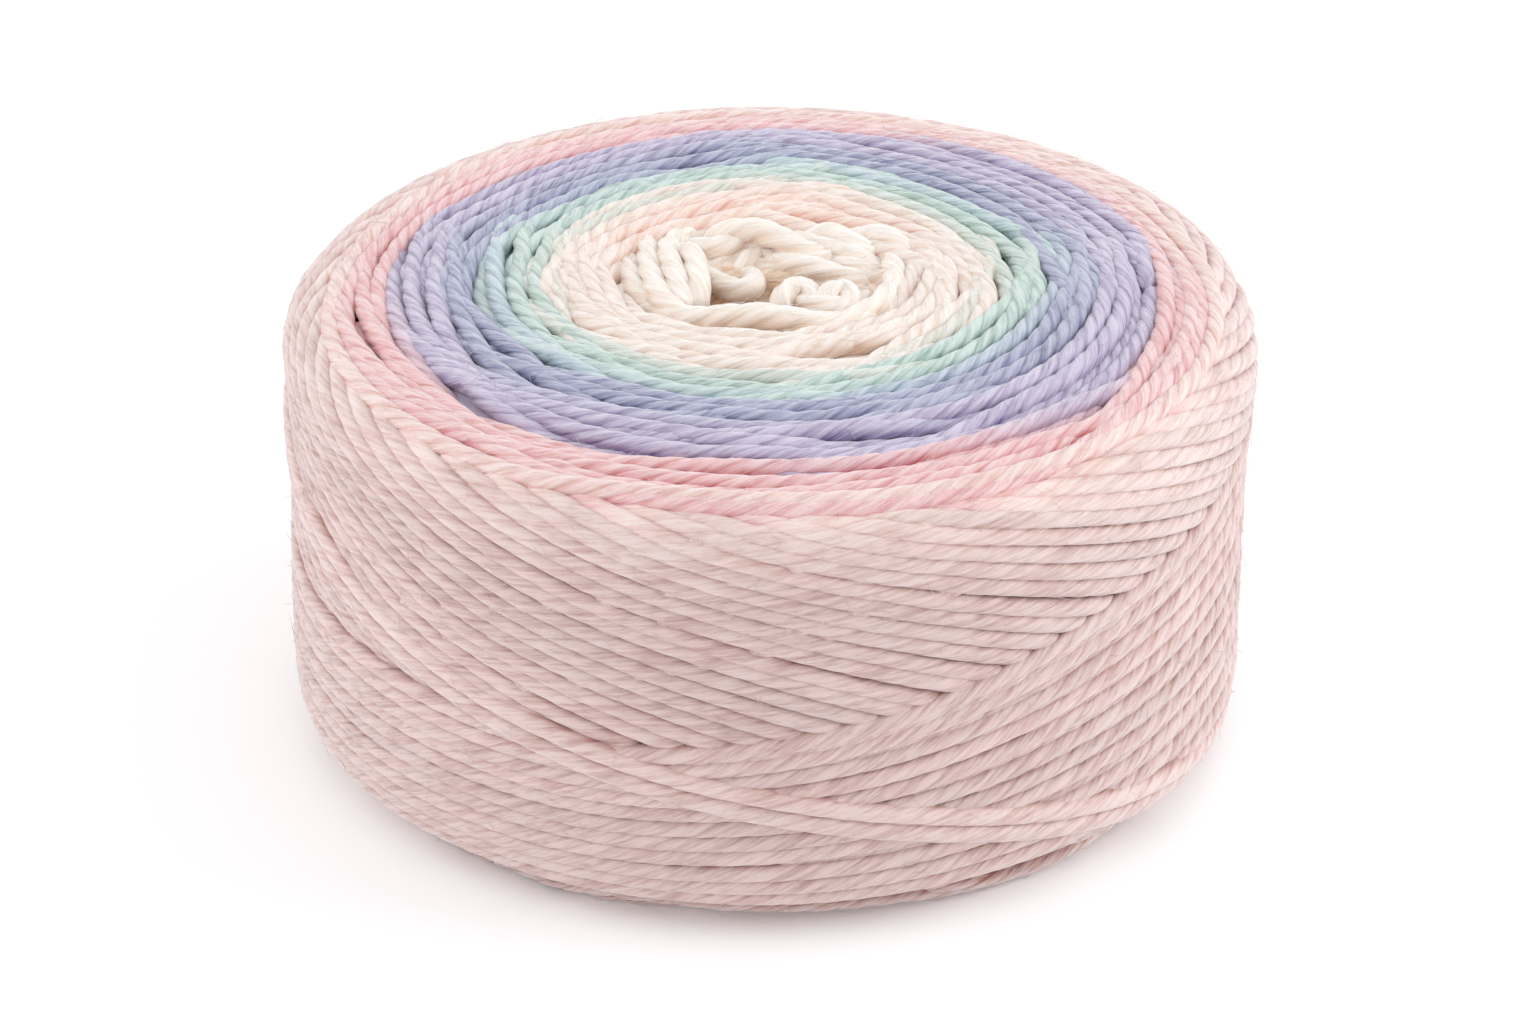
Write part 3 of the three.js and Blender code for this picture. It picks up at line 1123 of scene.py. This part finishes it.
def slack_loops():
    bundle = Bundle("slack_loops")
    points = nest()
    up = np.tile([0.0, 0.0, 1.0], (NEST_POINTS, 1))
    # Painted shade: the nest on the well's floor is half tan
    dye = np.tile(0.5 * (DYES["tan"] + DYES["milk"]), (NEST_POINTS, 1))
    bundle.add(points, up, NEST_SIZE, dye, 0.0, SLACK_TWIST, SLACK_PLY_DEPTH)
    for size, *knots in SLACK_LOOPS:
        knots = np.array(knots)
        knots[:, 1] += (SLACK_PLANE - knots[:, 2]) / math.tan(VIEW_ELEVATION)
        points = curve_through(knots, SLACK_STEP)
        points += np.stack([wander(len(points), SLACK_BEND_STEPS, SLACK_BEND) for _ in range(3)], axis=-1)
        # Painted shade: the loops turn tan lower down in the well
        well_shade_share = SLACK_WELL_SHADE_SHARE * (1.0 - ramp(points[:, 2], *SLACK_WELL_SHADE_HEIGHTS))[:, None]
        dye = DYES["milk"] * (1.0 - well_shade_share) + DYES["tan"] * well_shade_share
        up = np.tile([0.0, 0.0, 1.0], (len(points), 1))
        bundle.add(points, up, size, dye, rng.uniform(0.0, SLACK_TWIST), SLACK_TWIST, SLACK_PLY_DEPTH)
        hairs_from.extend(2 * [(points, up, size, dye)])
    return bundle


# Stray fibres. Lengths, rises and the ends' shares of the rise are drawn between two values, and the lean
# from the outer side and the spread of heading are in radians.
HAIR_COUNT = 6000
HAIR_RADIUS = 0.04
HAIR_ROOT = 0.97
HAIR_LEAN = 0.9
HAIR_SPREAD = 0.9
HAIR_LENGTHS = (1.5, 4.0)
HAIR_RISES = (0.05, 0.5)
HAIR_END_RISES = (0.2, 1.4)

# A fibre's bends, as parts of its length and rise, its three-cornered section, and its faces
HAIR_BENDS = ((0.0, 0.0), (0.35, 0.7), (0.7, 1.0))
HAIR_SECTION = ((1.0, 0.0), (-0.5, 0.87), (-0.5, -0.87))
HAIR_FACES = (
    (0, 2, 1), (0, 3, 2), (0, 1, 3), (1, 2, 5), (1, 5, 4), (2, 3, 6),
    (2, 6, 5), (3, 1, 4), (3, 4, 6), (4, 5, 7), (5, 6, 7), (6, 4, 7),
)
HAIR_POINTS = 8

# Place of a face's corners in its tile of the map, and the tile's width and height
TILE_CORNERS = ((0.02, 0.02), (0.22, 0.02), (0.02, 0.3))
TILE = (0.25, 0.33)
TILES_ABREAST = 4


def hairs(count):
    counts = np.array([len(path) for path, _, _, _ in hairs_from])
    points = []
    dyes = []
    for index in rng.choice(len(hairs_from), count, p=counts / counts.sum()):
        path, out, size, dye = hairs_from[index]
        at = rng.integers(1, len(path) - 1)
        tangent = path[at + 1] - path[at - 1]
        tangent /= np.linalg.norm(tangent)
        up = out[at] - tangent * (out[at] @ tangent)
        up /= np.linalg.norm(up)
        lean = rng.uniform(-HAIR_LEAN, HAIR_LEAN)
        normal = math.cos(lean) * up + math.sin(lean) * np.cross(tangent, up)
        heading = rng.normal(0.0, HAIR_SPREAD) * np.cross(tangent, normal) + rng.choice([-1.0, 1.0]) * tangent
        heading /= np.linalg.norm(heading)
        length = rng.uniform(*HAIR_LENGTHS)
        rise = rng.uniform(*HAIR_RISES)
        root = path[at] + normal * FLUFF * size * HAIR_ROOT
        stops = (*HAIR_BENDS, (1.0, rng.uniform(*HAIR_END_RISES)))
        spine = [root + heading * length * onward + normal * rise * upward for onward, upward in stops]
        spine = [np.array([x, y, max(z, 2.0 * HAIR_RADIUS)]) for x, y, z in spine]
        beside = np.cross(heading, normal)
        ring = [upward * normal + sideways * beside for upward, sideways in HAIR_SECTION]
        rings = [middle + HAIR_RADIUS * corner for middle in spine[1:3] for corner in ring]
        points += [spine[0], *rings, spine[3]]
        dyes.append(dye[at])
    face_count = len(HAIR_FACES)
    faces = (np.arange(count)[:, None, None] * HAIR_POINTS + np.array(HAIR_FACES)[None]).reshape(-1, 3)
    side = math.ceil(math.sqrt(count))
    cell = stacked(np.arange(count) % side, np.arange(count) // side)[:, None, None, :]
    tile = np.array([
        [(face % TILES_ABREAST) * TILE[0] + x, (face // TILES_ABREAST) * TILE[1] + y]
        for face in range(face_count) for x, y in TILE_CORNERS
    ])
    bake_map = ((cell + tile.reshape(1, face_count, 3, 2)) / side).reshape(-1, 2)
    finished_piece("stray_fibres", np.array(points), np.zeros((0, 4)), faces,
                   np.repeat(dyes, HAIR_POINTS, axis=0), np.ones(len(points)), np.zeros((3 * len(faces), 2)),
                   bake_map, taut_yarn)


for strand in strands:
    yarn = open_yarn if strand.ply_depth == OPEN_PLY_DEPTH else taut_yarn
    for bundle in tubes(strand):
        bundle_mesh(bundle, yarn)
bundle_mesh(slack_loops(), open_yarn)
hairs(HAIR_COUNT)

# Core under the turns, in the shade between them
CORE_DEPTH = 2.2
CORE_ROWS = 150
CORE_COLUMNS = 120
CORE_SHADE = 0.6
CORE_GRAIN = 40.0


def core():
    rows = np.linspace(0.0, OUTLINE_LENGTH, CORE_ROWS)
    columns = CORE_COLUMNS
    around = np.arange(columns)
    picked = (around * COLUMNS / columns).astype(int)
    last_cell = first_bed.shape[1] - 1
    lifts = [first_bed[picked, min(int(along / CELL), last_cell)] + BED_DEPTH - CORE_DEPTH for along in rows]
    grid = np.stack([on_drum(around * TAU / columns, np.full(columns, along), lift)
                     for along, lift in zip(rows, lifts)])
    tips = [[*WELL_CENTRE, grid[0, :, 2].mean()], [0.0, 0.0, grid[-1, :, 2].mean()]]
    points = joined(grid.reshape(-1, 3), tips)
    row, column = (part.ravel() for part in np.meshgrid(np.arange(CORE_ROWS - 1), around, indexing="ij"))
    row = stacked(row, row + 1, row + 1, row)
    column = stacked(column, column, column + 1, column + 1)
    after = (around + 1) % columns
    last = (CORE_ROWS - 1) * columns
    tip = np.full(columns, CORE_ROWS * columns)
    top = stacked(around, after, tip)
    foot = stacked(last + after, last + around, tip + 1)
    fan_map = stacked(around, around + 1, around + 0.5) / columns
    edge_map = np.tile([1.0 - 0.5 / CORE_ROWS, 1.0 - 0.5 / CORE_ROWS, 1.0], (columns, 1))
    cap_map = stacked(fan_map, edge_map).reshape(-1, 2)
    face_map = stacked(column / columns, row / CORE_ROWS).reshape(-1, 2)
    bake_map = joined(face_map, cap_map, cap_map)
    dye = np.repeat(top_dye(rows, np.zeros(CORE_ROWS)), columns, axis=0)
    # The tip in the well is tan, painted shade, and the one under the base is cream
    dye = joined(dye, [DYES["tan"], DYES["cream"]])
    finished_piece("packed_core", points, row * columns + column % columns, joined(top, foot), dye,
                   np.full(len(points), CORE_SHADE), CORE_GRAIN * bake_map, bake_map, taut_yarn)


core()

# Light and floor, in metres
LAMP_AIM = (0.0, 0.0, 0.03)
FLOOR_REACH = 4.0


def lamp(name, place, size, power, colour=(1.0, 1.0, 1.0)):
    data = bpy.data.lights.new(name, "AREA")
    data.energy = power
    data.size = size
    data.color = colour
    light = bpy.data.objects.new(name, data)
    light.location = place
    light.rotation_euler = Vector(np.array(LAMP_AIM) - np.array(place)).to_track_quat("-Z", "Y").to_euler()
    bpy.context.scene.collection.objects.link(light)


lamp("left_box", place=(-1.0, 0.1, 0.5), size=0.9, power=3.7, colour=(0.94, 0.98, 1.0))
lamp("right_box", place=(1.0, 0.1, 0.5), size=0.9, power=6.5, colour=(0.92, 0.98, 1.0))
lamp("key", place=(-0.4, -0.6, 0.9), size=0.6, power=0.5)

world = bpy.data.worlds.new("studio")
world.use_nodes = True
backdrop = world.node_tree.nodes["Background"]
backdrop.inputs["Color"].default_value = (1.0, 1.0, 1.0, 1.0)
backdrop.inputs["Strength"].default_value = 0.85
bpy.context.scene.world = world


def floor():
    corners = [(x * FLOOR_REACH, y * FLOOR_REACH, 0.0) for x, y in ((-1, -1), (1, -1), (1, 1), (-1, 1))]
    mesh = bpy.data.meshes.new("floor")
    mesh.from_pydata(corners, [], [(0, 1, 2, 3)])
    mesh.materials.append(surface("paper", PAPER_SURFACE)[0])
    ground = bpy.data.objects.new("floor", mesh)
    bpy.context.scene.collection.objects.link(ground)


floor()
bpy.context.scene.view_settings.view_transform = "Standard"
